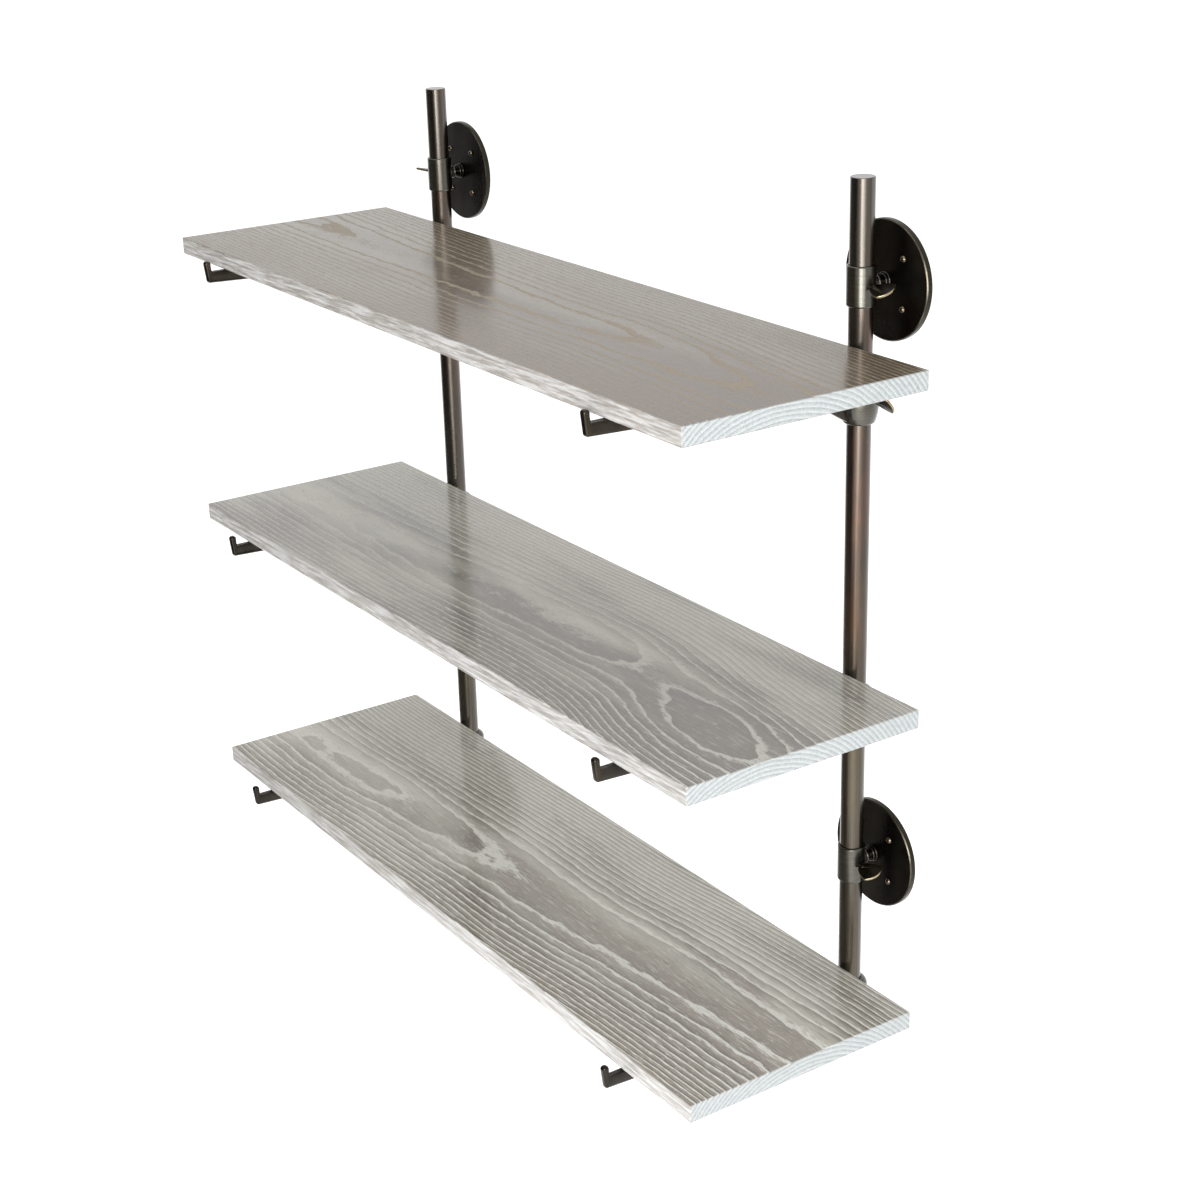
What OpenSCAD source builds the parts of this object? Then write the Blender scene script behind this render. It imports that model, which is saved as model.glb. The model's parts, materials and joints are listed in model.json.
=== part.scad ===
// Wall-hung shelving unit: three oak boards on hooked brackets, which slide on two upright rods.
// Sizes are in millimetres. X runs along the shelves, +Y runs into the wall and +Z is up.
// The origin lies on the wall's face, midway between the four wall plates.

/* [Shelves] */
// Length of each shelf, end to end
shelf_l = 1066.8; // [950:0.2:1300]
// Depth of each shelf, front to back
shelf_d = 294; // [220:1:320]
// Thickness of each shelf
shelf_t = 20.6; // [16:0.1:30]
// Bevel that eases every edge of a shelf
shelf_arris = 0.8; // [0.4:0.1:2]
// Rise from one shelf's top to the next
tier_h = 355.6; // [300:0.1:420]
// Length of shelf that stands past each rod's axis
overhang = 120.4; // [80:0.1:160]
// Clear distance at which a shelf's back edge passes the wall collars
pass_clear = 1.5; // [1:0.1:3]

/* [Rods] */
// Diameter of the upright rods
rod_d = 25.4; // [20:0.1:32]
// Bevel on a rod's sawn and turned ends
rod_bevel = 0.6; // [0.3:0.1:2]
// Distance of the rods' axes from the wall
rod_off = 38.1; // [36:0.1:60]
// Length of rod that stands above the middle of the upper wall plates
rod_over = 107.8; // [60:0.1:130]
// Length of rod that stands below the lowest brackets
rod_under = 4.6; // [4.5:0.1:60]

/* [Wall fixings] */
// Drop from the upper wall plates' middle to the top shelf
top_drop = 58.7; // [50:0.1:70]
// Rise from the bottom shelf to the lower wall plates' middle
low_rise = 126.3; // [110:0.1:160]
// Diameter of a wall plate
plate_d = 124; // [100:1:150]
// Thickness of a wall plate
plate_t = 6.4; // [4:0.1:8]
// Bevel round a wall plate's front
plate_bevel = 1.2; // [0.5:0.1:2.5]
// Side of the square on which a wall plate's four screws stand
screw_square = 50.8; // [40:0.2:70]
// Wall of a collar around its rod
collar_wall = 2.5; // [2.2:0.1:4]
// Height of a collar
collar_h = 41.5; // [34:0.5:60]
// Rounding of a collar's outer edges
collar_round = 1.6; // [0.5:0.1:2]

/* [Wall screws] */
// Diameter of a screw's domed head
head_d = 7; // [6:0.1:9]
// Height of a screw's domed head
head_h = 2.5; // [1.5:0.1:3]
// Diameter of a screw's smooth shank, inside the wall plate
shank_d = 4.8; // [4.4:0.1:5]
// Diameter of a screw's thread, in the wall
thread_d = 3.8; // [3:0.1:4]
// Length of a screw behind the wall plate
thread_l = 16; // [12:1:60]

/* [Brackets] */
// Wall of a bracket's hub around its rod
hub_wall = 7.6; // [6:0.1:9]
// Height of a hub below the shelf that it carries
hub_h = 62.3; // [56:0.1:80]
// Radius of the rounded shoulder at a hub's top
shoulder_r = 9; // [8.5:0.1:10]
// Height of the hub's lower part, which draws in
belly_h = 22.3; // [12:0.1:24]
// Radius of the curve in which the hub's lower part draws in
belly_r = 62; // [45:1:120]
// Rounding of a hub's bottom edge
hub_round = 3; // [1:0.1:4]
// Thickness of the arm's plate
arm_t = 8; // [5:0.1:12]
// Depth of the slot in the hub that takes the arm's end
slot_depth = 4.3; // [3:0.1:4.5]
// Height from the arm's root to the hub's bottom
root_inset = 2.7; // [2:0.1:6]
// Depth of the arm at its front
arm_tip_h = 13.3; // [9:0.1:18]
// Slope of the arm's lower edge, in degrees
arm_taper = 2.7; // [1:0.1:3.5]
// Slope of the gusset under the arm's root, in degrees
gusset_slope = 31.4; // [28:0.1:38]
// Radius of the curve between the arm and its gusset
gusset_r = 145; // [60:1:170]
// Gap between a shelf's front edge and the hook
hook_gap = 18.6; // [5:0.1:25]
// Thickness of the hook that stands at the arm's front
hook_t = 8; // [5:0.1:12]
// Height of the hook above the arm
hook_h = 13.4; // [8:0.1:20]
// Rounding of the hook's corners, as a share of its thickness
hook_round_share = 0.42; // [0.2:0.01:0.48]
// Lean of the hook's front face, from its foot to its top
hook_lean = 2.4; // [0:0.1:3]

/* [Thumbscrews] */
// Diameter of a thumbscrew's threaded shank
stem_d = 6; // [4:0.1:7]
// Diameter of the small ball at the blade's root
ball_d = 6.6; // [6.2:0.1:9]
// Thickness of the blade
blade_t = 2.5; // [1.5:0.1:3.5]
// Length of the blade, from its root to its tip
blade_l = 26.6; // [20:0.1:30]
// Length of the blade behind the ball's middle
blade_lead = 1.6; // [0.5:0.1:2.5]
// Half of the blade's width at its corners
blade_w = 13.6; // [11:0.1:14]
// Half of the blade's width at its root
blade_root_w = 5; // [4:0.1:6]
// Bulge of the blade's two sides between its root and its corners
blade_bulge = 1.5; // [1:0.1:3]
// Height of the arc along the blade's outer edge
blade_arc_h = 6.5; // [3:0.1:7]
// Height of the thumbscrew below a bracket's shelf
stem_drop = 34; // [28:0.1:40]

/* [Hidden] */
$fn = 96;

// Overrun of every cut past the face that it opens
over = 1;
// Clearance of a rod in the bores that slide on it
slide_fit = 0.08;
// Clearance of a turning or pressed pin in its hole
pin_fit = 0.05;
// Clearance of a screw's shank in the wall plate
screw_fit = 0.3;
// Gap between two pieces that just don't touch
near_gap = 0.3;
// Bevel at the mouths of the rods' bores
bore_bevel = 0.4;

// Places shared by all the pieces
rod_r = rod_d / 2;
rod_x = shelf_l / 2 - overhang;
rod_y = -rod_off;
bore_r = rod_r + slide_fit;
collar_r = rod_r + collar_wall;
hub_r = rod_r + hub_wall;
fixing_rise = top_drop + 2 * tier_h - low_rise;
rod_l = rod_over + top_drop + 2 * tier_h + shelf_t + hub_h + rod_under;
upper_z = fixing_rise / 2;
lower_z = -fixing_rise / 2;
top_z = upper_z - top_drop;
middle_z = top_z - tier_h;
bottom_z = middle_z - tier_h;

// Distances in front of the rods' axes
back_d = collar_r + pass_clear;
front_d = back_d + shelf_d;
hook_d = front_d + hook_gap;
hook_r = hook_t * hook_round_share;
hook_tip_d = hook_d + hook_t - hook_r;
foot_d = hook_tip_d - hook_lean;
hook_angle = atan2(hook_lean, arm_tip_h + hook_h - 2 * hook_r);
seat_d = hub_r - slot_depth;

// The turned boss behind each collar and the neck between it and the wall plate
boss_l = 5.1;
boss_bead_r = 1.5;
boss_waist_r = 6.4;
boss_flare_r = 5.5;
boss_end = collar_r + boss_l;
boss_waist_end = boss_end - 2 * boss_bead_r;
neck_waist_r = 5;
front_bead_r = 1.7;
front_bead_reach = 8.5;
back_bead_r = 1.6;
back_bead_reach = 9.5;
front_tenon_r = 4;
front_tenon_l = 4.6;
front_tenon_end_gap = 0.4;
back_tenon_r = 5;
plate_face = rod_off - plate_t;
neck_l = plate_face - boss_end;

// Where the arm's lower edge and its gusset meet
root_h = hub_h - root_inset;
corner_d = (root_h + seat_d * tan(gusset_slope) - arm_tip_h - foot_d * tan(arm_taper))
    / (tan(gusset_slope) - tan(arm_taper));
corner_h = arm_tip_h + (foot_d - corner_d) * tan(arm_taper);
gusset_run = gusset_r * tan((gusset_slope - arm_taper) / 2);

// Where a hub's profile changes from one curve to the next
shoulder_d = hub_r - shoulder_r;
shoulder_h = sqrt(pow(shoulder_r, 2) - pow(back_d - near_gap - shoulder_d, 2));
shoulder_rise = sqrt(pow(shoulder_r, 2) - pow(bore_r - shoulder_d, 2)) - shoulder_h;
belly_d = hub_r - belly_r;
round_d = belly_d + sqrt(pow(belly_r - hub_round, 2) - pow(belly_h - hub_round, 2));
belly_angle = asin((belly_h - hub_round) / (belly_r - hub_round));

// How each thumbscrew's blade is turned, in degrees from level
collar_tilt_upper_left = -13;
collar_tilt_upper_right = 20;
collar_tilt_lower_left = 35;
collar_tilt_lower_right = 16;
hub_tilt_top_left = -35;
hub_tilt_top_right = -52;
hub_tilt_middle_left = 40;
hub_tilt_middle_right = -25;
hub_tilt_bottom_left = 15;
hub_tilt_bottom_right = 48;

// A rectangle with its four corners cut off
module eased_rectangle(w, h, c) {
    polygon([
        [c - w / 2, -h / 2], [w / 2 - c, -h / 2], [w / 2, c - h / 2], [w / 2, h / 2 - c],
        [w / 2 - c, h / 2], [c - w / 2, h / 2], [-w / 2, h / 2 - c], [-w / 2, c - h / 2]
    ]);
}

// A rectangle from the origin with its four corners rounded
module rounded_rectangle(w, h, r) {
    translate([r, 0]) square([w - 2 * r, h]);
    translate([0, r]) square([w, h - 2 * r]);
    for (x = [r, w - r])
        for (y = [r, h - r])
            translate([x, y]) circle(r);
}

// A board of sizes l, d and t, with every edge eased by c
module eased_board(l, d, t, c) {
    intersection() {
        linear_extrude(t, center = true) eased_rectangle(l, d, c);
        rotate([90, 0, 0]) linear_extrude(d, center = true) eased_rectangle(l, t, c);
        rotate([90, 0, 90]) linear_extrude(l, center = true) eased_rectangle(d, t, c);
    }
}

// Puts a piece at a rod's axis at height z, mirrored on the left
module at_rod(side, z) {
    translate([side * rod_x, rod_y, z])
        mirror([side < 0 ? 1 : 0, 0, 0])
            children();
}

// A shelf whose top lies at height z
module shelf(z) {
    color("tan")
        translate([0, rod_y - back_d - shelf_d / 2, z - shelf_t / 2])
            eased_board(shelf_l, shelf_d, shelf_t, shelf_arris);
}

// An upright rod
module rod(side) {
    color("dimgray")
        at_rod(side, upper_z + rod_over - rod_l)
            rotate_extrude()
                polygon([
                    [0, 0], [rod_r - rod_bevel, 0], [rod_r, rod_bevel],
                    [rod_r, rod_l - rod_bevel], [rod_r - rod_bevel, rod_l], [0, rod_l]
                ]);
}

// Places four children on the corners of a wall plate's screw square
module on_screw_square() {
    for (x = [-screw_square / 2, screw_square / 2])
        for (z = [-screw_square / 2, screw_square / 2])
            translate([x, 0, z])
                rotate([-90, 0, 0])
                    children();
}

// A round wall plate, drilled for its screws and its neck
module plate(side, z) {
    r = plate_d / 2;
    color("darkslategray")
        translate([side * rod_x, 0, z])
            difference() {
                rotate([90, 0, 0])
                    rotate_extrude()
                        polygon([
                            [0, 0], [r, 0], [r, plate_t - plate_bevel],
                            [r - plate_bevel, plate_t], [0, plate_t]
                        ]);
                on_screw_square()
                    translate([0, 0, -plate_t - over])
                        cylinder(h = plate_t + 2 * over, d = shank_d + 2 * screw_fit);
                rotate([90, 0, 0])
                    translate([0, 0, -over])
                        cylinder(h = plate_t + 2 * over, r = back_tenon_r + pin_fit);
            }
}

// The outline of the turned neck, from the boss at the bottom to the plate at the top
module neck_outline() {
    translate([0, -front_tenon_l]) square([front_tenon_r, front_tenon_l + neck_l]);
    square([neck_waist_r, neck_l]);
    translate([0, neck_l - 2 * back_bead_r]) square([back_bead_reach - back_bead_r, 2 * back_bead_r]);
    translate([back_bead_reach - back_bead_r, neck_l - back_bead_r]) circle(back_bead_r);
    translate([0, neck_l - 2 * back_bead_r - 2 * front_bead_r])
        square([front_bead_reach - front_bead_r, 2 * front_bead_r]);
    translate([front_bead_reach - front_bead_r, neck_l - 2 * back_bead_r - front_bead_r])
        circle(front_bead_r);
    translate([0, neck_l]) square([back_tenon_r, plate_t - near_gap]);
}

// The turned neck between a collar's boss and the wall plate, with a tenon at each end
module neck(side, z) {
    color("dimgray")
        at_rod(side, z)
            rotate([-90, 0, 0])
                translate([0, 0, boss_end])
                    rotate_extrude()
                        intersection() {
                            neck_outline();
                            translate([0, -front_tenon_l]) square([plate_d / 2, front_tenon_l + rod_off]);
                        }
}

// The outline of the trumpet boss behind a collar, measured from the rod's axis
module boss_outline() {
    flare_end = boss_waist_end - boss_flare_r;
    square([boss_waist_r + boss_flare_r, flare_end]);
    difference() {
        translate([0, flare_end]) square([boss_waist_r + boss_flare_r, boss_flare_r]);
        translate([boss_waist_r + boss_flare_r, boss_waist_end]) circle(boss_flare_r);
    }
    translate([0, boss_waist_end]) square([boss_waist_r, 2 * boss_bead_r]);
    translate([boss_waist_r, boss_end - boss_bead_r]) circle(boss_bead_r);
}

// A cut that opens a rod's bore from height a to height b, with bevelled mouths
module rod_bore(a, b) {
    translate([0, 0, a - over]) cylinder(h = b - a + 2 * over, r = bore_r);
    rotate_extrude()
        polygon([
            [0, a - over], [bore_r + bore_bevel + over, a - over], [bore_r, a + bore_bevel],
            [bore_r, b - bore_bevel], [bore_r + bore_bevel + over, b + over], [0, b + over]
        ]);
}

// A hole for a thumbscrew, from the bore out through a wall of radius r
module stem_hole(r) {
    rotate([0, 90, 0]) cylinder(h = r + over, d = stem_d + 2 * pin_fit);
}

// A wall collar with its trumpet boss
module collar(side, z) {
    color("slategray")
        at_rod(side, z)
            difference() {
                union() {
                    rotate_extrude()
                        intersection() {
                            translate([-collar_r, -collar_h / 2])
                                rounded_rectangle(2 * collar_r, collar_h, collar_round);
                            translate([0, -collar_h / 2]) square([collar_r, collar_h]);
                        }
                    rotate([-90, 0, 0]) rotate_extrude() boss_outline();
                }
                rod_bore(-collar_h / 2, collar_h / 2);
                stem_hole(collar_r);
                rotate([-90, 0, 0])
                    translate([0, 0, boss_end - front_tenon_l - front_tenon_end_gap])
                        cylinder(h = front_tenon_l + front_tenon_end_gap + over, r = front_tenon_r + pin_fit);
            }
}

// The outline of a thumbscrew's fan blade, measured from its root
module blade_outline() {
    corner_l = blade_l - blade_arc_h;
    spread = blade_w - blade_root_w;
    middle_w = (blade_w + blade_root_w) / 2;
    arc_r = (pow(blade_w, 2) + pow(blade_arc_h, 2)) / (2 * blade_arc_h);
    half_side = sqrt(pow(corner_l, 2) + pow(spread, 2)) / 2;
    side_r = (pow(half_side, 2) + pow(blade_bulge, 2)) / (2 * blade_bulge);
    inward = (side_r - blade_bulge) / (2 * half_side);
    intersection() {
        translate([0, -blade_w]) square([blade_l, 2 * blade_w]);
        translate([blade_l - arc_r, 0]) circle(arc_r);
        intersection_for(s = [-1, 1])
            translate([corner_l / 2 + spread * inward, s * (middle_w - corner_l * inward)])
                circle(side_r);
    }
}

// A thumbscrew in a wall of radius r, its blade tilted from level
module thumbscrew(side, z, r, tilt) {
    ball_r = ball_d / 2;
    stem_l = r + ball_r - rod_r;
    color("darkgoldenrod")
        at_rod(side, z)
            translate([rod_r + near_gap, 0, 0]) {
                rotate([0, 90, 0])
                    rotate_extrude()
                        intersection() {
                            union() {
                                translate([0, stem_l]) circle(ball_r);
                                square([stem_d / 2, stem_l]);
                            }
                            square([ball_d, stem_l + ball_r]);
                        }
                translate([stem_l - blade_lead, 0, 0])
                    rotate([tilt, 0, 0])
                        linear_extrude(blade_t, center = true)
                            blade_outline();
            }
}

// A wall collar's thumbscrew, at height z
module collar_screw(side, z, tilt) {
    thumbscrew(side, z, collar_r, tilt);
}

// A bracket's thumbscrew, below the shelf whose top lies at height z
module hub_screw(side, z, tilt) {
    thumbscrew(side, z - shelf_t - stem_drop, hub_r, tilt);
}

// The outline of a hub's wall, its top at the shelf's underside
module hub_outline() {
    straight_h = hub_h - belly_h;
    belly_end = straight_h + belly_r * sin(belly_angle);
    translate([shoulder_d, -shoulder_h]) circle(shoulder_r);
    translate([0, -straight_h]) square([hub_r, straight_h - shoulder_h]);
    intersection() {
        translate([belly_d, -straight_h]) circle(belly_r);
        translate([0, -belly_end]) square([hub_r, belly_end - straight_h]);
    }
    translate([round_d, hub_round - hub_h]) circle(hub_round);
    translate([0, -hub_h]) square([round_d, hub_h - straight_h]);
}

// A bracket's turned hub, slotted in front for its arm
module hub(side, z) {
    color("gray")
        at_rod(side, z - shelf_t)
            difference() {
                rotate_extrude()
                    intersection() {
                        hub_outline();
                        translate([0, -hub_h]) square([hub_r, hub_h + shoulder_r]);
                    }
                rod_bore(-hub_h, shoulder_rise);
                translate([0, 0, -stem_drop]) stem_hole(hub_r);
                rotate([90, 0, -90])
                    linear_extrude(arm_t, center = true)
                        polygon([
                            [seat_d, shoulder_r], [hub_r + over, shoulder_r],
                            [hub_r + over, (hub_r + over - seat_d) * tan(gusset_slope) - root_h],
                            [seat_d, -root_h]
                        ]);
            }
}

// The outline of a hook, rounded at its foot and top, with its front face leaning outward
module hook_outline() {
    front_x = hook_r * cos(hook_angle);
    front_y = hook_r * sin(hook_angle);
    polygon([
        [hook_d, 0],
        [foot_d, -arm_tip_h],
        [foot_d + front_x, hook_r - arm_tip_h - front_y],
        [hook_tip_d + front_x, hook_h - hook_r - front_y],
        [hook_tip_d, hook_h],
        [hook_d + hook_r, hook_h],
        [hook_d, hook_h - hook_r]
    ]);
    translate([foot_d, hook_r - arm_tip_h]) circle(hook_r);
    for (x = [hook_d + hook_r, hook_tip_d])
        translate([x, hook_h - hook_r]) circle(hook_r);
}

// The outline of an arm: gusset, tapering beam and hook, its top edge at height 0
module arm_outline() {
    run_x = gusset_run * cos(gusset_slope);
    run_y = gusset_run * sin(gusset_slope);
    difference() {
        union() {
            polygon([
                [seat_d, 0],
                [seat_d, -root_h],
                [corner_d - run_x, -corner_h - run_y],
                [corner_d + gusset_run * cos(arm_taper), -corner_h + gusset_run * sin(arm_taper)],
                [foot_d, -arm_tip_h],
                [foot_d, 0]
            ]);
            hook_outline();
        }
        translate([
            corner_d - run_x + gusset_r * sin(gusset_slope),
            -corner_h - run_y - gusset_r * cos(gusset_slope)
        ]) circle(gusset_r);
    }
}

// A bracket's arm, which carries the shelf and hooks up in front of it
module arm(side, z) {
    color("gray")
        at_rod(side, z - shelf_t)
            rotate([90, 0, -90])
                linear_extrude(arm_t, center = true)
                    arm_outline();
}

// One domed wall screw, its head's seat at height 0 and its point at the top
module wall_screw() {
    head_r = head_d / 2;
    dome_r = (pow(head_r, 2) + pow(head_h, 2)) / (2 * head_h);
    point_l = thread_d;
    rotate_extrude()
        intersection() {
            translate([0, dome_r - head_h]) circle(dome_r);
            translate([0, -head_h]) square([head_r, head_h]);
        }
    rotate_extrude()
        polygon([
            [0, 0], [shank_d / 2, 0], [shank_d / 2, plate_t], [thread_d / 2, plate_t],
            [thread_d / 2, plate_t + thread_l - point_l], [0, plate_t + thread_l]
        ]);
}

// The screws that hold the four wall plates
module wall_screws() {
    color("silver")
        for (side = [-1, 1])
            for (z = [lower_z, upper_z])
                translate([side * rod_x, -plate_t, z])
                    on_screw_square()
                        wall_screw();
}

shelf(top_z);  // shelf_top
shelf(middle_z);  // shelf_middle
shelf(bottom_z);  // shelf_bottom
rod(-1);  // rod_left
rod(1);  // rod_right
plate(-1, upper_z);  // plate_upper_left
plate(1, upper_z);  // plate_upper_right
plate(-1, lower_z);  // plate_lower_left
plate(1, lower_z);  // plate_lower_right
neck(-1, upper_z);  // neck_upper_left
neck(1, upper_z);  // neck_upper_right
neck(-1, lower_z);  // neck_lower_left
neck(1, lower_z);  // neck_lower_right
collar(-1, upper_z);  // collar_upper_left
collar(1, upper_z);  // collar_upper_right
collar(-1, lower_z);  // collar_lower_left
collar(1, lower_z);  // collar_lower_right
collar_screw(-1, upper_z, collar_tilt_upper_left);  // collar_screw_upper_left
collar_screw(1, upper_z, collar_tilt_upper_right);  // collar_screw_upper_right
collar_screw(-1, lower_z, collar_tilt_lower_left);  // collar_screw_lower_left
collar_screw(1, lower_z, collar_tilt_lower_right);  // collar_screw_lower_right
hub(-1, top_z);  // hub_top_left
hub(1, top_z);  // hub_top_right
hub(-1, middle_z);  // hub_middle_left
hub(1, middle_z);  // hub_middle_right
hub(-1, bottom_z);  // hub_bottom_left
hub(1, bottom_z);  // hub_bottom_right
arm(-1, top_z);  // arm_top_left
arm(1, top_z);  // arm_top_right
arm(-1, middle_z);  // arm_middle_left
arm(1, middle_z);  // arm_middle_right
arm(-1, bottom_z);  // arm_bottom_left
arm(1, bottom_z);  // arm_bottom_right
hub_screw(-1, top_z, hub_tilt_top_left);  // hub_screw_top_left
hub_screw(1, top_z, hub_tilt_top_right);  // hub_screw_top_right
hub_screw(-1, middle_z, hub_tilt_middle_left);  // hub_screw_middle_left
hub_screw(1, middle_z, hub_tilt_middle_right);  // hub_screw_middle_right
hub_screw(-1, bottom_z, hub_tilt_bottom_left);  // hub_screw_bottom_left
hub_screw(1, bottom_z, hub_tilt_bottom_right);  // hub_screw_bottom_right
wall_screws();
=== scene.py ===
from functools import partial
import json
import math

import bmesh
import bpy
from mathutils import Matrix, Vector

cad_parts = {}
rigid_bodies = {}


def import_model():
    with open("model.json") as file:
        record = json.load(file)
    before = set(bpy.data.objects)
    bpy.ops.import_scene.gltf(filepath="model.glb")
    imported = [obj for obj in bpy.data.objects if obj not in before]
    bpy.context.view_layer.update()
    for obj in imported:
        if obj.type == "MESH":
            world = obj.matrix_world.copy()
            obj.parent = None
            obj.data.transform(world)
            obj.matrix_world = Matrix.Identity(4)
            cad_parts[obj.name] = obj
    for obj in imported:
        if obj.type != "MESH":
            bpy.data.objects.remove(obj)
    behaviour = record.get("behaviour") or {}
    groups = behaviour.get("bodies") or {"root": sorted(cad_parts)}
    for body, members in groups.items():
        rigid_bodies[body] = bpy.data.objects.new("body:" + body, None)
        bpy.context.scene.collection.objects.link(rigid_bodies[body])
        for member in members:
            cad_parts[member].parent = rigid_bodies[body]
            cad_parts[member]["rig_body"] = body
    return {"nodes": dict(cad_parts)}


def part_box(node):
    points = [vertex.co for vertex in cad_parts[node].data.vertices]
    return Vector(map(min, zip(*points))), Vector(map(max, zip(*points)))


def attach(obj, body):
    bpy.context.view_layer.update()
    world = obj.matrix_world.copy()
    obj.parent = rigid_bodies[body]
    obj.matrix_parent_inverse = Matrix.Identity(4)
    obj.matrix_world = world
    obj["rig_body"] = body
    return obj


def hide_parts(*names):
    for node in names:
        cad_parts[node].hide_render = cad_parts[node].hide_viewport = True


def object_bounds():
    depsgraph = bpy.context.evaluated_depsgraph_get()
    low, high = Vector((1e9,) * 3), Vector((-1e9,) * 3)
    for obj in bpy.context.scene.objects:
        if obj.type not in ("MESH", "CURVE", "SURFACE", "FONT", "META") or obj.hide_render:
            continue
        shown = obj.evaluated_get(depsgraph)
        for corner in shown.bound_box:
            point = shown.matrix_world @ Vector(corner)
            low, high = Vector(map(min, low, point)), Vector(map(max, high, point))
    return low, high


# A wall-hung unit of three limed oak boards, whose hooked brackets slide on two bronze rods.
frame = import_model()
cad_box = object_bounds()

MM = 0.001
LEVELS = ("top", "middle", "bottom")
SIDES = ("left", "right")
HEIGHTS = ("upper", "lower")

# Places that the finishes and pieces share, read from the frame
rod_low, rod_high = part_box("rod_right")
ROD_X = (rod_low.x + rod_high.x) / 2
ROD_Y = (rod_low.y + rod_high.y) / 2
ROD_R = (rod_high.x - rod_low.x) / 2
plate_low, plate_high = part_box("plate_upper_right")
PLATE_Z = (plate_low.z + plate_high.z) / 2
PLATE_R = (plate_high.z - plate_low.z) / 2

# Each board's stain, wax and figure. The top board's darker ground, tan and wax are partly its own tone
# and partly painted shade, for the weaker light on its face. Two curves along a board draw its figure, as
# points of a place in mm from the board's middle and a value. "years" counts the years of growth from the
# tree's heart up to the board's face, and "heart" is the heart's place across the board, in mm towards the
# back.
BOARDS = {
    "top": dict(
        # Darker than the other boards: partly its own tone and partly painted shade for the weaker light on
        # its face
        ground="#6b604e", tan="#4a3110", wax="#968b79", wax_share=0.9, dark_share=0.7,
        years=[(-533, 25.9), (-445, 26.0), (-200, 26.5), (60, 26.75), (228, 27.0), (330, 27.4),
               (471, 28.0), (533, 28.2)],
        heart=[(-533, 30), (-200, 10), (100, -5), (228, -4), (471, -27), (533, -32)]),
    "middle": dict(
        ground="#b8b5a8", tan="#77716a", wax="#dadad2", wax_share=0.7, dark_share=0.65,
        years=[(-533, 27.45), (-485, 27.3), (-366, 27.0), (-200, 26.5), (-129, 26.3), (0, 26.15),
               (90, 26.1), (180, 26.3), (240, 26.8), (262, 27.0), (300, 27.25), (345, 27.0),
               (405, 26.35), (450, 26.2), (490, 26.5), (533, 27.0)],
        heart=[(-533, -19), (-129, -19), (0, -15), (180, -8), (280, -15), (390, -38), (533, -56)]),
    "bottom": dict(
        ground="#bcb9ac", tan="#8e8578", wax="#dcdcd5", wax_share=0.8, dark_share=0.95,
        years=[(-533, 26.2), (-410, 26.0), (-350, 25.9), (-285, 26.0), (-235, 26.3), (-130, 26.65),
               (-22, 27.0), (50, 27.15), (121, 27.32), (300, 27.45), (533, 27.55)],
        heart=[(-533, -45), (-400, -46), (-229, -36), (-22, -27), (121, -25), (300, -8), (533, 2)]),
}


def paint(hex_colour):
    """An sRGB hex colour as the linear colour that a shader takes."""
    parts = [int(hex_colour[i:i + 2], 16) / 255 for i in (1, 3, 5)]
    return [p / 12.92 if p <= 0.04045 else ((p + 0.055) / 1.055) ** 2.4 for p in parts] + [1]


def add(tree, kind, inputs=(), **settings):
    """Adds a node with its settings. Its inputs stand in order in a list, or by name in a dict, and
    each is a value, or a node or socket to link from."""
    made = tree.nodes.new("ShaderNode" + kind)
    for name, value in settings.items():
        setattr(made, name, value)
    if isinstance(inputs, dict):
        pairs = [(made.inputs[name], value) for name, value in inputs.items()]
    else:
        pairs = list(zip([socket for socket in made.inputs if socket.enabled], inputs))
    for socket, value in pairs:
        if isinstance(value, bpy.types.Node):
            value = next(output for output in value.outputs if output.enabled)
        if isinstance(value, bpy.types.NodeSocket):
            tree.links.new(value, socket)
        else:
            socket.default_value = value
    return made


def new_material(name):
    """An empty material, the function that adds a node to it, and its Object coordinates."""
    material = bpy.data.materials.new(name)
    material.use_nodes = True
    material.node_tree.nodes.clear()
    node = partial(add, material.node_tree)
    return material, node, node("TexCoord").outputs["Object"]


def finish_material(node, surface, bump_height, bump_depth):
    """Ends a material with its bump and its principled shader."""
    bump = node("Bump", {"Height": bump_height, "Distance": bump_depth, "Strength": 1.0})
    shader = node("BsdfPrincipled", {**surface, "Normal": bump})
    node("OutputMaterial", {"Surface": shader})


def stretched_noise(node, place, sizes, detail=2.0, roughness=0.5):
    """Noise whose patches have their own size in mm along X, Y and Z."""
    scaled = node("Mapping", {"Vector": place, "Scale": [1 / (size * MM) for size in sizes]})
    return node("TexNoise", {"Vector": scaled, "Scale": 1.0, "Detail": detail, "Roughness": roughness})


def distance_beyond(node, measure, start):
    """How far a place lies beyond a start, to either side of the middle."""
    either_side = node("Math", [measure], operation="ABSOLUTE")
    return node("Math", [either_side, start], operation="SUBTRACT")


def distance_from(node, aside, along):
    """The distance of a place from an axis, from its two measures."""
    return node("VectorMath", [node("CombineXYZ", [aside, along])], operation="LENGTH")


def curve_along(node, along, length, points, low, high):
    """A smooth curve along a board through its points, whose values lie between low and high."""
    line = node("FloatCurve", {"Value": along})
    curve = line.mapping.curves[0]
    spots = [(x * MM / length + 0.5, (value - low) / (high - low)) for x, value in points]
    curve.points[0].location = spots[0]
    curve.points[1].location = spots[-1]
    for spot in spots[1:-1]:
        curve.points.new(*spot)
    line.mapping.update()
    return node("Math", [line, high - low, low], operation="MULTIPLY_ADD")


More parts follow.
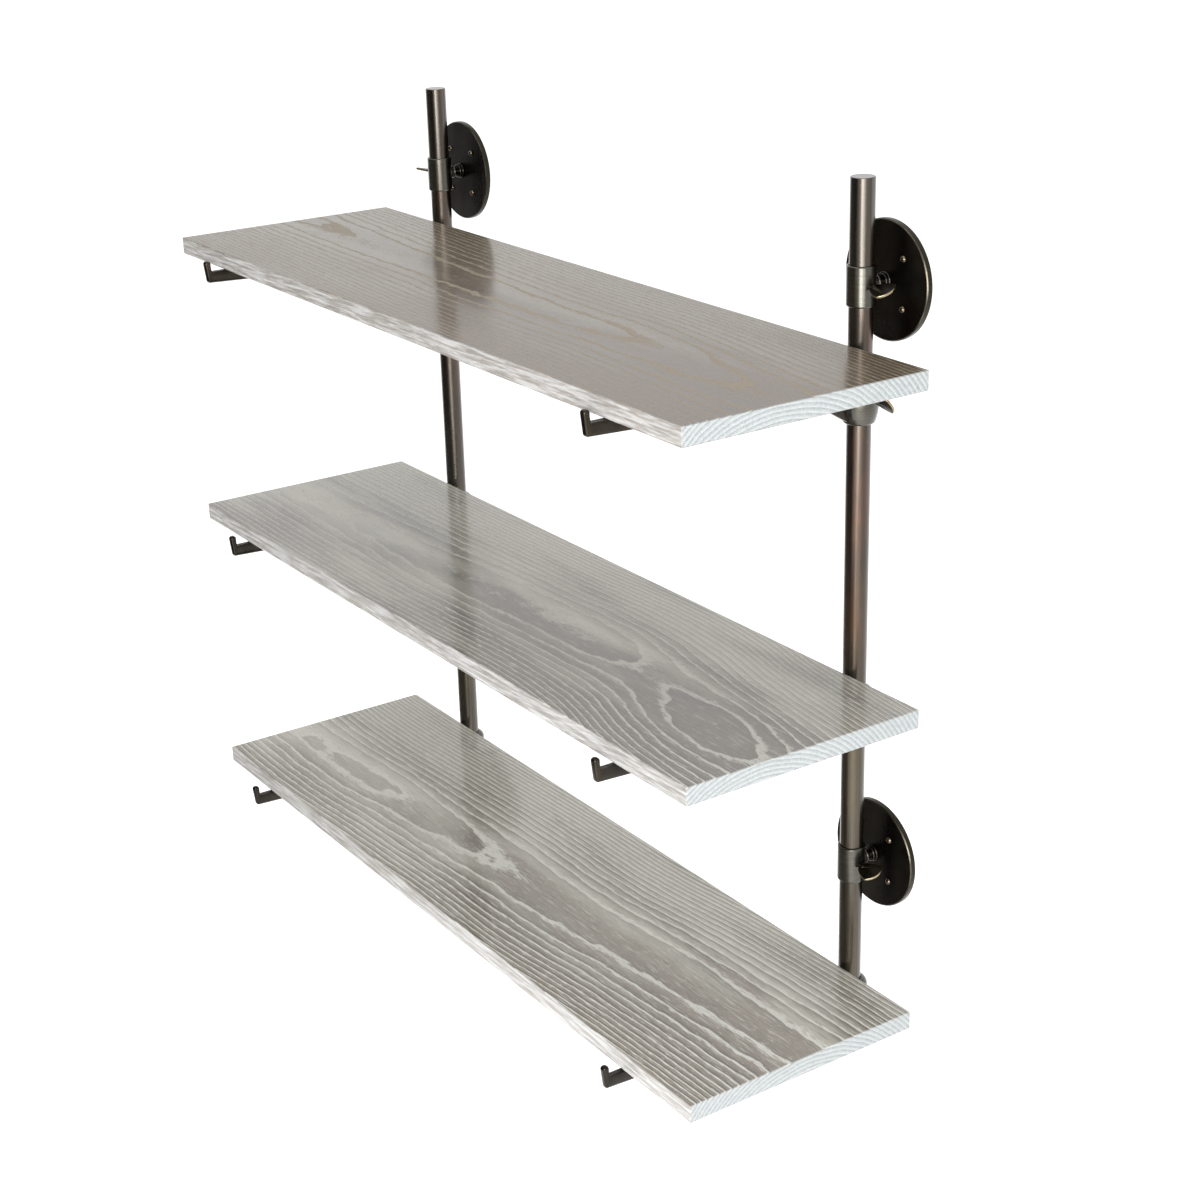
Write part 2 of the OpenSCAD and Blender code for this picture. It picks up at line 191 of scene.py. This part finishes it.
def year_rings(node, local, length, years, heart):
    """The age of each point within its year of growth, from 0 to 1, and its distance from the heart's
    line. The heart lies below the board and wanders, and a year's ring is a shell round it."""
    ring_width = 5 * MM
    mean_years = 26.5
    sway_size = 5 * MM
    ripple_size = 3 * MM
    years_limits = (24, 30)
    heart_limits = (-100, 100)
    xyz = node("SeparateXYZ", [local])
    along = node("MapRange", [xyz.outputs["X"], -length / 2, length / 2])
    slow = stretched_noise(node, local, (385, 76.9, 76.9))
    quick = stretched_noise(node, local, (45.5, 16.7, 16.7))
    sway = node("Math", [slow, sway_size, -sway_size / 2], operation="MULTIPLY_ADD")
    ripple = node("Math", [quick, ripple_size, -ripple_size / 2], operation="MULTIPLY_ADD")
    waves = node("Math", [sway, ripple], operation="ADD")

    heart_mm = curve_along(node, along, length, heart, *heart_limits)
    heart_y = node("Math", [heart_mm, MM], operation="MULTIPLY")
    across = node("Math", [xyz.outputs["Y"], heart_y], operation="SUBTRACT")
    off_heart = node("Math", [across], operation="ABSOLUTE")

    # Away from the heart's line the years run straighter
    count = curve_along(node, along, length, years, *years_limits)
    swing = node("Math", [count, mean_years], operation="SUBTRACT")
    calmer = node("MapRange", [off_heart, 25 * MM, 95 * MM, 1.0, 0.3])
    calmed = node("Math", [swing, calmer, mean_years], operation="MULTIPLY_ADD")
    depth = node("Math", [calmed, ring_width, waves], operation="MULTIPLY_ADD")
    above = node("Math", [xyz.outputs["Z"], depth], operation="ADD")
    across_squared = node("Math", [across, across], operation="MULTIPLY")
    radius_squared = node("Math", [above, above, across_squared], operation="MULTIPLY_ADD")
    radius = node("Math", [radius_squared], operation="SQRT")
    age = node("Math", [radius, ring_width], operation="DIVIDE")
    year = node("Math", [age], operation="FRACT")
    return year, off_heart


def waxed_pores(node, local, year):
    """The share of white wax at each point, and the rows in which lone pores lie. Early wood opens a
    year with a crowd of pores, which thins out. Pores and rows are drawn a millimetre and more wide,
    wider than real ones, so that they show from across a room."""
    opens = node("MapRange", [year, 0.0, 0.05])
    closes = node("MapRange", [year, 0.12, 0.36, 1.0, 0.0])
    early = node("Math", [opens, closes], operation="MULTIPLY")
    pores = stretched_noise(node, local, (13.3, 1.11, 1.11), 2.0, 0.6)
    crowd = node("Math", [early, 0.30, pores], operation="MULTIPLY_ADD")
    filled = node("MapRange", [crowd, 0.61, 0.72])
    lone = node("MapRange", [pores, 0.66, 0.76, 0.0, 0.6])
    rows = stretched_noise(node, local, (38.5, 3.03, 3.03), 2.0, 0.6)
    in_row = node("MapRange", [rows, 0.57, 0.70, 0.0, 0.55])
    scattered = node("Math", [lone, in_row], operation="MAXIMUM")
    return node("Math", [filled, scattered], operation="MAXIMUM"), rows


def stained(node, local, ground, tan):
    """A board's stained colour, and where the stain has turned it tan: in long soft streaks, and more
    towards the front and the right."""
    front_pull = 0.95
    right_pull = 0.16
    xyz = node("SeparateXYZ", [local])
    streak = stretched_noise(node, local, (333, 50, 50), 3.0)
    cloud = stretched_noise(node, local, (455, 143, 143))
    to_front = node("Math", [xyz.outputs["Y"], -front_pull], operation="MULTIPLY")
    forward = node("Math", [xyz.outputs["X"], right_pull, to_front], operation="MULTIPLY_ADD")
    taken = node("MapRange", [node("Math", [streak, forward], operation="ADD"), 0.38, 0.62])
    even = node("Mix", [taken, paint(ground), paint(tan)], data_type="RGBA")
    clouded = node("MapRange", [cloud, 0.35, 0.65, 0.0, 0.25])
    return node("Mix", [clouded, even, paint("#443f39")], data_type="RGBA"), taken


def sawn_faces(node, local, year, face):
    """A board's colour with its long edges and sawn ends, and where its ends are. Edges and ends are pale,
    partly because they soak up more of the wax than its face and partly as painted light for the light
    that falls on these upright faces. Their pores and fibres are coarser than real ones too."""
    facing = node("SeparateXYZ", [node("TexCoord").outputs["Normal"]])
    sideways = node("Math", [facing.outputs["X"]], operation="ABSOLUTE")
    frontways = node("Math", [facing.outputs["Y"]], operation="ABSOLUTE")
    on_end = node("MapRange", [sideways, 0.6, 0.8])
    on_edge = node("MapRange", [frontways, 0.6, 0.8, 0.0, 0.8])

    # The long edges' pale colours are partly painted light, standing for the light that falls on the front
    # faces
    edge_fibre = stretched_noise(node, local, (50, 16.7, 3.03), 3.0, 0.7)
    edge_wax = node("MapRange", [edge_fibre, 0.42, 0.60])
    edge = node("Mix", [edge_wax, paint("#a19c97"), paint("#d2d2d1")], data_type="RGBA")
    with_edges = node("Mix", [on_edge, face, edge], data_type="RGBA")

    # The ends' pale colours are partly painted light, standing for the strong light that falls on the sawn
    # ends
    end_pores = stretched_noise(node, local, (1.67, 2.22, 2.22))
    open_wood = node("MapRange", [year, 0.0, 0.8, 0.55, 0.0])
    soaked = node("Math", [end_pores, 0.8, open_wood], operation="MULTIPLY_ADD")
    end_wax = node("MapRange", [soaked, 0.35, 0.9])
    end = node("Mix", [end_wax, paint("#8c9090"), paint("#adb1b2")], data_type="RGBA")
    return node("Mix", [on_end, with_edges, end], data_type="RGBA"), on_end


def limed_oak(level, ground, tan, wax, wax_share, dark_share, years, heart):
    """Flat-sawn oak, brushed, stained taupe, limed and lacquered. White wax fills the open pores of
    each year's early wood, so the cathedral figure shows as pale lines on a darker satin ground, and
    the thin lacquer mirrors the rods at a low angle."""
    low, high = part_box("shelf_" + level)
    middle = Vector(((low.x + high.x) / 2, (low.y + high.y) / 2, high.z))
    material, node, place = new_material("limed_oak_" + level)
    local = node("Mapping", {"Vector": place, "Location": -middle})
    year, off_heart = year_rings(node, local, high.x - low.x, years, heart)
    pore, rows = waxed_pores(node, local, year)
    stain, taken = stained(node, local, ground, tan)
    fibre = stretched_noise(node, local, (33.3, 1.43, 1.43), 3.0, 0.7)

    # Late wood and the bare rows between pores stay darker, and most where the stain is tan
    ageing = node("MapRange", [year, 0.45, 1.0])
    dense = node("MapRange", [off_heart, 20 * MM, 75 * MM, 0.4, 1.0])
    late = node("Math", [ageing, dense], operation="MULTIPLY")
    bare = node("MapRange", [rows, 0.30, 0.43, 0.6, 0.0])
    unlimed = node("Math", [late, bare], operation="MAXIMUM")
    dark_strength = node("MapRange", [taken, 0.0, 1.0, 0.8 * dark_share, dark_share])
    darkened = node("Math", [unlimed, dark_strength], operation="MULTIPLY")
    dark = node("Mix", [darkened, stain, paint("#463f37")], data_type="RGBA")

    # Wax lies thick in the pores and as a thin haze on the fibres
    haze = node("MapRange", [fibre, 0.30, 0.75, 0.0, 0.12])
    hazed = node("Mix", [haze, dark, paint(wax)], data_type="RGBA")
    wax_strength = node("MapRange", [taken, 0.0, 1.0, 0.8 * wax_share, wax_share])
    wax_and_crevice_shade = node("Math", [pore, wax_strength], operation="MULTIPLY")
    limed = node("Mix", [wax_and_crevice_shade, hazed, paint(wax)], data_type="RGBA")
    colour, on_end = sawn_faces(node, local, year, limed)

    over_pores = node("MapRange", [pore, 0.0, 1.0, 1.0, 0.1])
    over_ends = node("MapRange", [on_end, 0.0, 1.0, 1.0, 0.4])
    lacquer = node("Math", [over_pores, over_ends], operation="MULTIPLY")
    fibres = node("Math", [fibre, 0.5], operation="MULTIPLY")
    relief = node("Math", [fibres, pore], operation="SUBTRACT")
    surface = {"Base Color": colour, "Roughness": 0.55, "Specular IOR Level": 0.25,
               "Coat Weight": lacquer, "Coat Roughness": 0.17}
    finish_material(node, surface, relief, 0.06 * MM)
    return material


def patina(name, base, brown, olive, pale, roughness, grain, mottle, lines, line_depth, lacquer, gloss):
    """Bronze under a dark oiled patina: blooms over a near-black ground, brown above and olive below,
    and a thin lacquer whose neutral sheen lies on the metal's warm one. A near-black painted shade without
    lacquer, with a painted reflection of the dark rod, lies in the crevice round each rod. Grain, mottle
    and lines are sizes in mm, and the fine ones are coarser than real pits and tool marks, so that they
    show."""
    material, node, place = new_material(name)
    bloom = stretched_noise(node, place, mottle, 4.0, 0.6)
    speck = stretched_noise(node, place, grain, 3.0, 0.7)
    turned = stretched_noise(node, place, lines)
    xyz = node("SeparateXYZ", [place])
    height = xyz.outputs["Z"]

    upper = node("MapRange", [height, -0.2, 0.1])
    tint = node("Mix", [upper, paint(olive), paint(brown)], data_type="RGBA")
    blooming = node("MapRange", [bloom, 0.42, 0.68])
    fading = node("MapRange", [height, 0.3, 0.42, 1.0, 0.35])
    bloomed = node("Math", [blooming, fading], operation="MULTIPLY")
    warm = node("Mix", [bloomed, paint(base), tint], data_type="RGBA")
    line = node("MapRange", [turned, 0.35, 0.7, 0.0, 0.35])
    drawn = node("Mix", [line, warm, paint(pale)], data_type="RGBA")
    pit = node("MapRange", [speck, 0.6, 0.8, 0.0, 0.3])
    pitted = node("Mix", [pit, drawn, paint(pale)], data_type="RGBA")

    # Painted shade and a painted reflection of the dark rod: a near-black ring without lacquer in the
    # crevice round each rod
    aside = distance_beyond(node, xyz.outputs["X"], ROD_X)
    behind = node("Math", [xyz.outputs["Y"], ROD_Y], operation="SUBTRACT")
    from_rod = distance_from(node, aside, behind)
    crevice_shade = node("MapRange", [from_rod, ROD_R + 0.5 * MM, ROD_R + 1.3 * MM, 1.0, 0.0])
    off_rod = node("MapRange", [from_rod, ROD_R + 0.02 * MM, ROD_R + 0.04 * MM])
    wax_and_crevice_shade = node("Math", [crevice_shade, off_rod], operation="MULTIPLY")
    colour = node("Mix", [wax_and_crevice_shade, pitted, paint("#0e0d0b")], data_type="RGBA")

    rough = node("MapRange", [bloom, 0.3, 0.7, roughness - 0.05, roughness + 0.07])
    coat = node("MapRange", [wax_and_crevice_shade, 0.0, 1.0, lacquer, 0.0])
    relief = node("Math", [speck, 0.3, turned], operation="MULTIPLY_ADD")
    surface = {"Base Color": colour, "Metallic": 1.0, "Roughness": rough, "Coat Weight": coat,
               "Coat Roughness": gloss}
    finish_material(node, surface, relief, line_depth)
    return material


def rod_bronze():
    """Solid round bar with an oil-rubbed patina: faint lengthwise draw lines, reddish blooms and
    small pale pits, so its highlight is a long soft band with a ragged edge."""
    return patina("rod_bronze", base="#2b231a", brown="#54301f", olive="#42371b", pale="#5a5241",
                  roughness=0.31, grain=(3.85, 3.85, 8.33), mottle=(33.3, 33.3, 143),
                  lines=(2.38, 2.38, 200), line_depth=0.0005 * MM, lacquer=1.0, gloss=0.25)


def collar_bronze():
    """Turned fittings with a thinner, greener patina: fine lines round them soften the sheen."""
    return patina("collar_bronze", base="#3a3930", brown="#40392c", olive="#373226", pale="#5a584f",
                  roughness=0.3, grain=(4.17, 4.17, 1.67), mottle=(29.4, 29.4, 29.4),
                  lines=(33.3, 33.3, 1.11), line_depth=0.0005 * MM, lacquer=1.0, gloss=0.2)


def neck_bronze():
    """Turned necks, blacker than the collars, with a hard gloss that picks out each bead by a glint."""
    return patina("neck_bronze", base="#1c1a16", brown="#29221a", olive="#231f17", pale="#3f392e",
                  roughness=0.22, grain=(4.17, 4.17, 4.17), mottle=(29.4, 29.4, 29.4),
                  lines=(33.3, 1.11, 33.3), line_depth=0.001 * MM, lacquer=0.4, gloss=0.1)


def arm_bronze():
    """Flat bar cut, filed and blackened: darker than the turned parts, with soft brown blooms."""
    return patina("arm_bronze", base="#1f1b14", brown="#332719", olive="#1e1a15", pale="#433b2f",
                  roughness=0.34, grain=(3.85, 3.85, 3.85), mottle=(33.3, 33.3, 33.3),
                  lines=(5, 16.7, 16.7), line_depth=0.002 * MM, lacquer=0.35, gloss=0.12)


def screw_brass():
    """Plated brass wood screws, dulled to bronze: a pin-point glint on each dome."""
    return patina("screw_brass", base="#4b4335", brown="#5d4a35", olive="#574a35", pale="#84745a",
                  roughness=0.22, grain=(2, 2, 2), mottle=(8.33, 8.33, 8.33),
                  lines=(3.33, 3.33, 3.33), line_depth=0.002 * MM, lacquer=0.6, gloss=0.12)


def plate_bronze():
    """Blackened discs: a near-black face with soft cloudy bands, rubbed back to bronze at the rim."""
    material, node, place = new_material("plate_bronze")
    xyz = node("SeparateXYZ", [place])
    aside = distance_beyond(node, xyz.outputs["X"], ROD_X)
    along = distance_beyond(node, xyz.outputs["Z"], PLATE_Z)
    radius = distance_from(node, aside, along)
    cloud = stretched_noise(node, place, (38.5, 38.5, 111), 3.0)
    speck = stretched_noise(node, place, (3.33, 3.33, 3.33), 3.0, 0.7)

    clouded = node("MapRange", [cloud, 0.35, 0.7])
    face = node("Mix", [clouded, paint("#24211d"), paint("#3b3732")], data_type="RGBA")
    on_side = node("MapRange", [radius, PLATE_R - 0.4 * MM, PLATE_R - 0.1 * MM])
    rim = node("Mix", [on_side, paint("#5a554a"), paint("#35322a")], data_type="RGBA")
    on_rim = node("MapRange", [radius, PLATE_R - 1.2 * MM, PLATE_R - 0.8 * MM])
    scuffed = node("MapRange", [speck, 0.3, 0.6, 0.55, 1.0])
    worn = node("Math", [on_rim, scuffed], operation="MULTIPLY")
    colour = node("Mix", [worn, face, rim], data_type="RGBA")
    rough = node("MapRange", [cloud, 0.3, 0.7, 0.24, 0.34])
    finish_material(node, {"Base Color": colour, "Metallic": 1.0, "Roughness": rough}, speck, 0.01 * MM)
    return material


def thumbscrew_brass():
    """Cast brass, blackened and then handled: dark on its flats and bright yellow at its rims."""
    material, node, place = new_material("thumbscrew_brass")
    worn = node("Attribute", attribute_name="worn").outputs["Fac"]
    speck = stretched_noise(node, place, (2.38, 2.38, 2.38), 3.0, 0.7)
    cast = node("MapRange", [speck, 0.4, 0.7])
    dark = node("Mix", [cast, paint("#211e18"), paint("#302b21")], data_type="RGBA")
    patchy = node("MapRange", [speck, 0.25, 0.5, 0.6, 1.0])
    rubbed = node("Math", [worn, patchy], operation="MULTIPLY")
    colour = node("Mix", [rubbed, dark, paint("#a49679")], data_type="RGBA")
    rough = node("MapRange", [rubbed, 0.0, 1.0, 0.34, 0.22])
    finish_material(node, {"Base Color": colour, "Metallic": 1.0, "Roughness": rough}, speck, 0.012 * MM)
    return material


def dress(names, material):
    """Gives CAD nodes a finish."""
    for name in names:
        slots = frame["nodes"][name].data.materials
        slots.clear()
        slots.append(material)


def merged_copy(node):
    """A bmesh copy of a CAD node, with its loose triangles joined and its flat faces made whole."""
    form = bmesh.new()
    form.from_mesh(frame["nodes"][node].data)
    bmesh.ops.remove_doubles(form, verts=form.verts, dist=0.002 * MM)
    bmesh.ops.dissolve_limit(form, angle_limit=math.radians(0.4), verts=form.verts, edges=form.edges)
    return form


def as_object(form, name, material):
    """Makes a bmesh an object of one material, at the origin."""
    mesh = bpy.data.meshes.new(name)
    form.to_mesh(mesh)
    form.free()
    mesh.materials.append(material)
    made = bpy.data.objects.new(name, mesh)
    bpy.context.scene.collection.objects.link(made)
    return made


def as_piece(form, name, node, material):
    """Makes a bmesh the visible piece that stands for a CAD node, and rides where it does."""
    piece = as_object(form, name, material)
    piece.data.shade_smooth()
    piece.data.set_sharp_from_angle(angle=math.radians(40))
    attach(piece, frame["nodes"][node]["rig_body"])
    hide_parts(node)
    return piece


def outer_corners(form):
    """A form's outward edges that are sharper than 60 degrees."""
    sharp = math.radians(60)
    return [edge for edge in form.edges
            if len(edge.link_faces) == 2 and edge.calc_face_angle_signed(0) > sharp]


def borders_flank(edge):
    """Whether an edge borders a face that looks to the left or right."""
    return any(abs(face.normal.x) > 0.99 for face in edge.link_faces)


def ease(form, edges, radius, segments):
    """Rounds edges by a radius."""
    bmesh.ops.bevel(form, geom=edges, offset=radius, segments=segments, profile=0.5, affect="EDGES",
                    material=-1)


def eased_arm(level, side, material):
    """A bracket's arm with its edges filed round: softly along the gusset and beam, and deeply on the
    hook, whose top is nearly a dome."""
    node = f"arm_{level}_{side}"
    hook_thickness = 8 * MM
    slack = 0.05 * MM
    hook_round = 2.6 * MM
    edge_round = 0.8 * MM
    hook_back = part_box(node)[0].y + hook_thickness + slack
    form = merged_copy(node)
    flanks = [edge for edge in outer_corners(form) if borders_flank(edge)]
    hook = [edge for edge in flanks if all(v.co.y < hook_back for v in edge.verts)]
    ease(form, hook, hook_round, 5)
    rest = [edge for edge in outer_corners(form) if borders_flank(edge)]
    ease(form, rest, edge_round, 2)
    return as_piece(form, node + "_eased", node, material)


def worn_thumbscrew(node, material):
    """A thumbscrew whose blade has soft rims, marked as worn where fingers rub them bright."""
    blade_reach = 24 * MM
    half_blade = 1.25 * MM
    rim_round = 0.55 * MM
    blade_fade = 2 * MM
    flat_fade = 0.25 * MM
    form = merged_copy(node)
    flat = max(form.faces, key=lambda face: face.calc_area())
    across = flat.normal.copy()
    middle = flat.calc_center_median().dot(across) - half_blade
    ease(form, outer_corners(form), rim_round, 3)
    ball_end = max(abs(v.co.x) for v in form.verts) - blade_reach
    worn = form.verts.layers.float.new("worn")
    for v in form.verts:
        on_blade = (abs(v.co.x) - ball_end) / blade_fade
        off_flat = (half_blade - abs(v.co.dot(across) - middle)) / flat_fade
        v[worn] = max(0.0, min(1.0, on_blade)) * max(0.0, min(1.0, off_flat))
    return as_piece(form, node + "_worn", node, material)


def draw_outline(form, points, closed=False):
    """Draws a line through points of a radius and a Y, and returns its vertices and edges."""
    spots = [bmesh.ops.create_vert(form, co=(r, y, 0))["vert"][0] for r, y in points]
    ends = spots[1:] + spots[:1] if closed else spots[1:]
    edges = [bmesh.ops.contextual_create(form, geom=[a, b])["edges"][0] for a, b in zip(spots, ends)]
    return spots, edges


def sink_cross(form, head_r):
    """Sinks a cross recess in a screw's domed head: four of the dome's eight sectors, near its pole."""
    recess_depth = 0.9 * MM
    recess_draft = 0.08 * MM
    quarter, arm_width = 90, 22.5
    cross = []
    for face in form.faces:
        spot = face.calc_center_median()
        angle = math.degrees(math.atan2(spot.z, spot.x)) % quarter
        if spot.y < 0 and math.hypot(spot.x, spot.z) < head_r / 2 and angle < arm_width:
            cross.append(face)
    bmesh.ops.recalc_face_normals(form, faces=form.faces)
    bmesh.ops.inset_region(form, faces=cross, thickness=recess_draft, depth=-recess_depth)


def roll_thread(form, start, core_r, thread_r):
    """Winds a sharp ridge round a screw's core."""
    pitch = 1.8 * MM
    turns = 5
    steps_a_turn = 18
    steps = steps_a_turn * turns
    root_r = core_r - 0.1 * MM
    profile = [(root_r, start + 0.2 * MM), (thread_r, start + 0.7 * MM), (root_r, start + 1.2 * MM)]
    ridge, loop = draw_outline(form, profile, closed=True)
    coil = bmesh.ops.spin(form, geom=ridge + loop, axis=(0, 1, 0), cent=(0, 0, 0), steps=steps,
                          angle=2 * math.pi * turns, dvec=(0, pitch * turns / steps, 0))
    last = [part for part in coil["geom_last"] if isinstance(part, bmesh.types.BMEdge)]
    bmesh.ops.holes_fill(form, edges=loop + last, sides=3)
    bmesh.ops.recalc_face_normals(form, faces=form.faces)


def wood_screw():
    """One wall screw in a bmesh: a domed head with a cross recess, a plain shank and a rolled thread.
    Its head's seat is at the origin and its point lies along Y."""
    head_r = 3.5 * MM
    head_h = 2.5 * MM
    shank_r = 2.4 * MM
    shank_l = 6.4 * MM
    core_r = 1.3 * MM
    thread_r = 1.88 * MM
    point_y = 22.4 * MM
    point_l = 4 * MM
    dome_steps = 9
    dome_r = (head_r ** 2 + head_h ** 2) / (2 * head_h)
    reach = math.asin(head_r / dome_r)
    angles = [reach * k / dome_steps for k in range(dome_steps + 1)]
    dome = [(dome_r * math.sin(a), dome_r - head_h - dome_r * math.cos(a)) for a in angles]
    shank = [(shank_r, 0), (shank_r, shank_l), (core_r, shank_l), (core_r, point_y - point_l), (0, point_y)]
    form = bmesh.new()
    spots, edges = draw_outline(form, dome + shank)
    bmesh.ops.spin(form, geom=spots + edges, axis=(0, 1, 0), cent=(0, 0, 0), angle=2 * math.pi, steps=32,
                   use_merge=True)
    bmesh.ops.remove_doubles(form, verts=form.verts, dist=0.001 * MM)
    sink_cross(form, head_r)
    roll_thread(form, shank_l, core_r, thread_r)
    return form


def threaded_screws(material):
    """All sixteen wall screws as one piece, each turned home to its own angle."""
    half_square = 25.4 * MM
    next_turn = 47
    seat_y = plate_low.y
    pattern = wood_screw()
    template = bpy.data.meshes.new("wood_screw")
    pattern.to_mesh(template)
    pattern.free()
    form = bmesh.new()
    plates = [(x, z) for x in (-ROD_X, ROD_X) for z in (-PLATE_Z, PLATE_Z)]
    corners = [(x, z) for x in (-half_square, half_square) for z in (-half_square, half_square)]
    places = [(p[0] + c[0], seat_y, p[1] + c[1]) for p in plates for c in corners]
    for count, place in enumerate(places):
        turned = Matrix.Rotation(math.radians(next_turn * count), 4, "Y")
        before = len(form.verts)
        form.from_mesh(template)
        form.verts.ensure_lookup_table()
        bmesh.ops.transform(form, matrix=Matrix.Translation(place) @ turned, verts=form.verts[before:])
    bpy.data.meshes.remove(template)
    return as_piece(form, "wall_screws_threaded", "wall_screws", material)


def seen_directly(node):
    """1 for what the camera, metal and glass see, and 0 for what lights the object."""
    rays = node("LightPath").outputs
    mirrored = node("Math", [rays["Is Camera Ray"], rays["Is Glossy Ray"]], operation="MAXIMUM")
    return node("Math", [mirrored, rays["Is Transmission Ray"]], operation="MAXIMUM")


def floor_paint():
    """Matt white floor paint, which keeps the shadow and shows white to the camera and in metal."""
    material, node, _ = new_material("floor_paint")
    matt = node("BsdfDiffuse", {"Color": paint("#efefef")})
    glow = node("Math", [seen_directly(node), 0.6], operation="MULTIPLY")
    lift = node("Emission", {"Color": paint("#ffffff"), "Strength": glow})
    node("OutputMaterial", {"Surface": node("AddShader", [matt, lift])})
    return material


def black_cloth():
    """Black studio cloth, which takes most of the light that meets it."""
    material, node, _ = new_material("black_cloth")
    node("OutputMaterial", {"Surface": node("BsdfDiffuse", {"Color": paint("#595959")})})
    return material


def pale_floor(height):
    """A wide floor at a height."""
    floor_side = 40
    form = bmesh.new()
    bmesh.ops.create_grid(form, x_segments=1, y_segments=1, size=floor_side / 2,
                          matrix=Matrix.Translation((0, 0, height)))
    as_object(form, "floor", floor_paint())


def pale_world():
    """A white surround, a little dimmer as a light than it looks."""
    world = bpy.data.worlds.new("studio")
    bpy.context.scene.world = world
    world.use_nodes = True
    world.node_tree.nodes.clear()
    node = partial(add, world.node_tree)
    strength = node("MapRange", [seen_directly(node), 0, 1, 0.7, 1.0])
    sky = node("Background", {"Color": paint("#ffffff"), "Strength": strength})
    node("OutputWorld", {"Surface": sky})


def black_flag(foot_height):
    """A dark curtain in an arc at the left, which only the metal's sheen sees: it keeps one side of
    each rod and fitting dark."""
    arc_radius = 1.7
    arc_height = 2.6
    arc_start = math.radians(-72)
    arc_angle = math.radians(-93)
    form = bmesh.new()
    corner = Matrix.Rotation(arc_start, 3, "Z") @ Vector((arc_radius, 0, 0))
    foot = bmesh.ops.create_vert(form, co=(corner.x, corner.y, foot_height))["vert"]
    bmesh.ops.spin(form, geom=foot, axis=(0, 0, 1), cent=(0, 0, 0), angle=arc_angle, steps=24)
    wall = bmesh.ops.extrude_edge_only(form, edges=list(form.edges))
    raised = [part for part in wall["geom"] if isinstance(part, bmesh.types.BMVert)]
    bmesh.ops.translate(form, vec=(0, 0, arc_height), verts=raised)
    flag = as_object(form, "black_flag", black_cloth())
    flag.visible_camera = False
    flag.visible_diffuse = False
    flag.visible_shadow = False


def soft_box(name, place, target, width, height, brightness):
    """A soft box that faces a target. Its brightness is in multiples of the white background."""
    light = bpy.data.lights.new(name, "AREA")
    light.shape = "RECTANGLE"
    light.size = width
    light.size_y = height
    light.energy = brightness * math.pi * width * height
    lamp = bpy.data.objects.new(name, light)
    lamp.location = place
    lamp.rotation_euler = (Vector(target) - Vector(place)).to_track_quat("-Z", "Y").to_euler()
    bpy.context.scene.collection.objects.link(lamp)


def studio():
    """A pale floor well below the unit, a white surround, and soft boxes round it."""
    floor_drop = 0.75
    flag_gap = 0.01
    floor_height = cad_box[0].z - floor_drop
    pale_floor(floor_height)
    pale_world()
    # Each box has its place and target in metres, its width, its height and its brightness
    soft_box("key", (2.52, -2.0, 0.3), (0, -0.03, -0.05), 1.15, 1.9, 14.0)
    soft_box("back_right", (1.7, 2.6, 0.3), (0, 0, 0), 0.7, 2.0, 1.1)
    soft_box("key_edge", (3.05, -1.15, 0.3), (0, 0, -0.05), 0.9, 1.9, 5.0)
    soft_box("overhead", (0.2, -0.4, 2.6), (0, -0.2, 0), 2.4, 1.4, 1.6)
    soft_box("front_left", (-1.9, -2.7, 0.6), (0, 0, 0), 0.8, 1.2, 2.2)
    black_flag(floor_height + flag_gap)


def camera():
    """The camera at the photograph's place, in metres, with its forward and right directions."""
    eye = Vector((2.0232, -1.4350, 0.8195))
    forward = Vector((-0.77486, 0.51713, -0.36356)).normalized()
    right = Vector((0.56349, 0.8257, -0.02651))
    right = (right - forward * right.dot(forward)).normalized()
    up = right.cross(forward)
    data = bpy.data.cameras.new("camera")
    data.sensor_width = 36
    data.lens = 65.03
    made = bpy.data.objects.new("camera", data)
    made.matrix_world = Matrix.Translation(eye) @ Matrix((right, up, -forward)).transposed().to_4x4()
    bpy.context.scene.collection.objects.link(made)
    bpy.context.scene.camera = made


camera()
studio()
bpy.context.scene.view_settings.view_transform = "Standard"

collar_finish = collar_bronze()
arm_finish = arm_bronze()
thumbscrew_finish = thumbscrew_brass()
for level in LEVELS:
    dress(["shelf_" + level], limed_oak(level, **BOARDS[level]))
    dress([f"hub_{level}_{side}" for side in SIDES], collar_finish)
dress([f"rod_{side}" for side in SIDES], rod_bronze())
dress([f"plate_{height}_{side}" for height in HEIGHTS for side in SIDES], plate_bronze())
dress([f"neck_{height}_{side}" for height in HEIGHTS for side in SIDES], neck_bronze())
dress([f"collar_{height}_{side}" for height in HEIGHTS for side in SIDES], collar_finish)

for side in SIDES:
    for level in LEVELS:
        eased_arm(level, side, arm_finish)
        worn_thumbscrew(f"hub_screw_{level}_{side}", thumbscrew_finish)
    for height in HEIGHTS:
        worn_thumbscrew(f"collar_screw_{height}_{side}", thumbscrew_finish)
threaded_screws(screw_brass())
